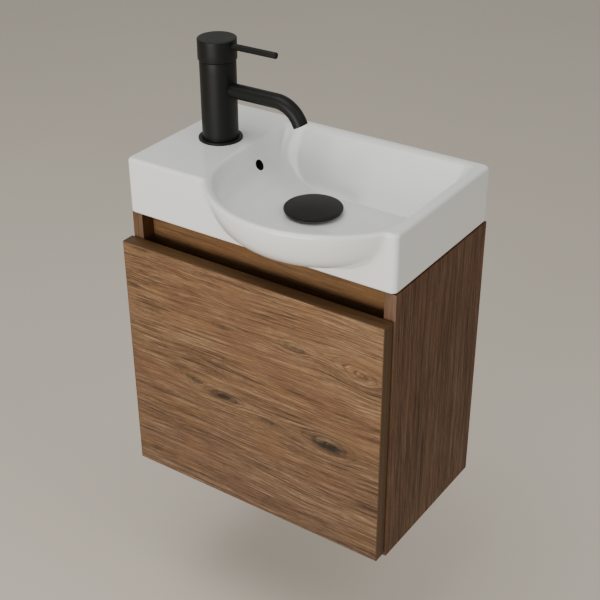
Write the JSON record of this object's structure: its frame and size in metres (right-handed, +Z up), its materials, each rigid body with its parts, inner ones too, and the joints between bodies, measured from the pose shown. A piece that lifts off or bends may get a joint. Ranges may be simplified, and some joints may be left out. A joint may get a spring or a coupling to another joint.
{
  "type": "wall-hung vanity unit with basin",
  "caption": "Wall-hung bathroom vanity: ceramic basin with a round bulging bowl on a one-door cabinet with concealed hinges, side-deck single-lever tap and press-down waste cap.",
  "frame": {"origin": "centre of the four wall-plate screw holes, on the wall plane", "axes": "+X to the right seen from the front, +Y into the wall (the front faces -Y), +Z up"},
  "size_m": [0.4023, 0.2977, 0.6113],
  "materials": {
    "ceramic": "glossy white glaze",
    "sealant": "grey silicone bead",
    "carcass_laminate": "dark walnut-look laminate, vertical grain",
    "carcass_laminate_right": "dark walnut-look laminate, vertical grain",
    "carcass_laminate_bottom": "dark walnut-look laminate",
    "panel_edge": "edge band, vertical grain",
    "rail_laminate": "dark walnut-look laminate, horizontal grain",
    "rear_rail_laminate": "dark walnut-look laminate, horizontal grain",
    "beech": "fluted beech",
    "zinc": "zinc-plated",
    "screw_steel": "zinc-plated",
    "pin_steel": "bright steel",
    "door_laminate": "dark walnut-look laminate, horizontal grain",
    "door_edge": "plain brown edge band",
    "clear_bumper": "translucent soft plastic",
    "hinge_nickel": "nickel-plated",
    "black_rubber": "matte black",
    "tap_black": "satin black",
    "aerator_plastic": "grey",
    "cartridge_plastic": "pale grey",
    "brass": "plain brass",
    "black_steel": "blackened steel",
    "chrome": "polished",
    "black_plastic": "moulded black plastic",
    "waste_black": "satin black"
  },
  "bodies": {
    "cabinet": {"side_panel_left": "carcass_laminate", "side_panel_right": "carcass_laminate_right", "panel_edge_bands": "panel_edge", "bottom_panel": "carcass_laminate_bottom", "front_rail": "rail_laminate", "hanging_rail": "rear_rail_laminate", "rear_lower_rail": "rear_rail_laminate", "dowels": "beech", "cam_bolts": "zinc", "cam_locks": "zinc", "wall_plates": "zinc", "hanger_hooks": "zinc", "hanger_screws": "screw_steel", "basin": "ceramic", "basin_seal": "sealant", "hinge_arms": "hinge_nickel", "hinge_arm_pins": "pin_steel", "hinge_plates": "hinge_nickel", "hinge_plate_screws": "screw_steel", "hinge_arm_screws": "screw_steel", "tap_base_gasket": "black_rubber", "tap_base_ring": "tap_black", "tap_rubber_washer": "black_rubber", "tap_clamp_plate": "zinc", "tap_stud": "zinc", "tap_nut": "brass", "tap_body": "tap_black", "tap_spout": "tap_black", "aerator": "aerator_plastic", "cartridge_housing": "cartridge_plastic", "cartridge_nut": "brass", "waste_flange_seal": "black_rubber", "waste_body": "chrome", "waste_lower_gasket": "black_rubber", "waste_back_nut": "black_plastic", "waste_core": "chrome"},
    "hinge_link_pair": {"hinge_links": "hinge_nickel"},
    "door": {"door_panel": "door_laminate", "door_edge_bands": "door_edge", "door_bumpers": "clear_bumper", "hinge_cups": "hinge_nickel", "hinge_cup_screws": "screw_steel", "hinge_cup_pins": "pin_steel"},
    "tap_swivel_body": {"cartridge_carrier": "cartridge_plastic", "lift_pin": "pin_steel"},
    "tap_lever": {"lever_spindle": "brass", "lever_hub": "tap_black", "lever_rod": "tap_black", "hub_grub_screw": "black_steel"},
    "waste_plug": {"waste_cap": "waste_black", "waste_cap_seal": "black_rubber", "waste_stem": "chrome"}
  },
  "joints": [
    {"name": "hinge_link_swing", "type": "hinge", "parent": "cabinet", "child": "hinge_link_pair", "pos_m": [-0.174, -0.219, -0.1634], "axis": [0, 0, -1], "range_deg": [-21.8, 0]},
    {"name": "door_swing", "type": "hinge", "parent": "hinge_link_pair", "child": "door", "pos_m": [-0.1943, -0.235, -0.1634], "axis": [0, 0, -1], "range_deg": [0, 112]},
    {"name": "tap_swivel", "type": "hinge", "parent": "cabinet", "child": "tap_swivel_body", "pos_m": [-0.1368, -0.1132, 0.2173], "axis": [0, 0, 1], "range_deg": [-45, 45]},
    {"name": "tap_lift", "type": "hinge", "parent": "tap_swivel_body", "child": "tap_lever", "pos_m": [-0.1368, -0.1132, 0.2173], "axis": [0, -1, 0], "range_deg": [0, 18]},
    {"name": "waste_cap_press", "type": "slide", "parent": "cabinet", "child": "waste_plug", "axis": [0, 0, -1], "range_m": [0, 0.0035], "stiffness_N_per_m": 300, "springref_m": -0.01}
  ],
  "couplings": [
    {"joint": "hinge_link_swing", "follows": "door_swing", "ratio": -0.19355}
  ]
}
